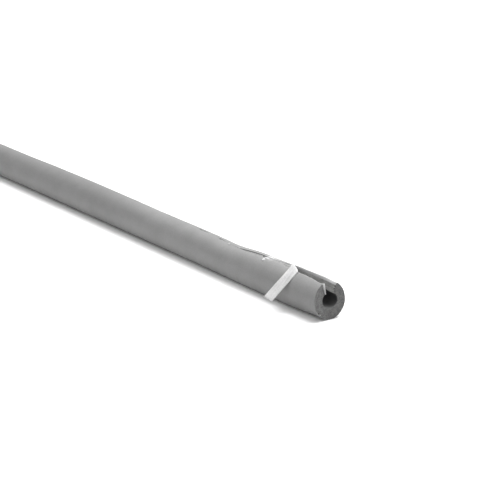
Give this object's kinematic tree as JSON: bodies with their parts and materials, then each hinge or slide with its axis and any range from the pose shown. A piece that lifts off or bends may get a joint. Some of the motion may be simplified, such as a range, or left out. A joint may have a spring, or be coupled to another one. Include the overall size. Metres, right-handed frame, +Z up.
{
  "type": "pipe insulation lagging",
  "caption": "Slit foam tube that lags a pipe, with self-seal slit faces under white paper liners; one liner is peeled back at the open end.",
  "frame": {"origin": "centre of the part's bounding box at floor level; the tube's own axis is 12.4 mm to the -Y side of it", "axes": "+X along the tube from the opened end to the far end, +Z up, with the tube lying on the floor; the peeled liner hangs on the +Y side"},
  "size_m": [1, 0.0749, 0.0572],
  "materials": {
    "grey_foam": "smooth matt skin of closed-cell polyethylene foam",
    "white_paper": "satin siliconised release paper"
  },
  "bodies": {
    "root": {"foam_tube": "grey_foam", "left_release_liner": "white_paper", "right_release_liner": "white_paper"}
  },
  "joints": []
}
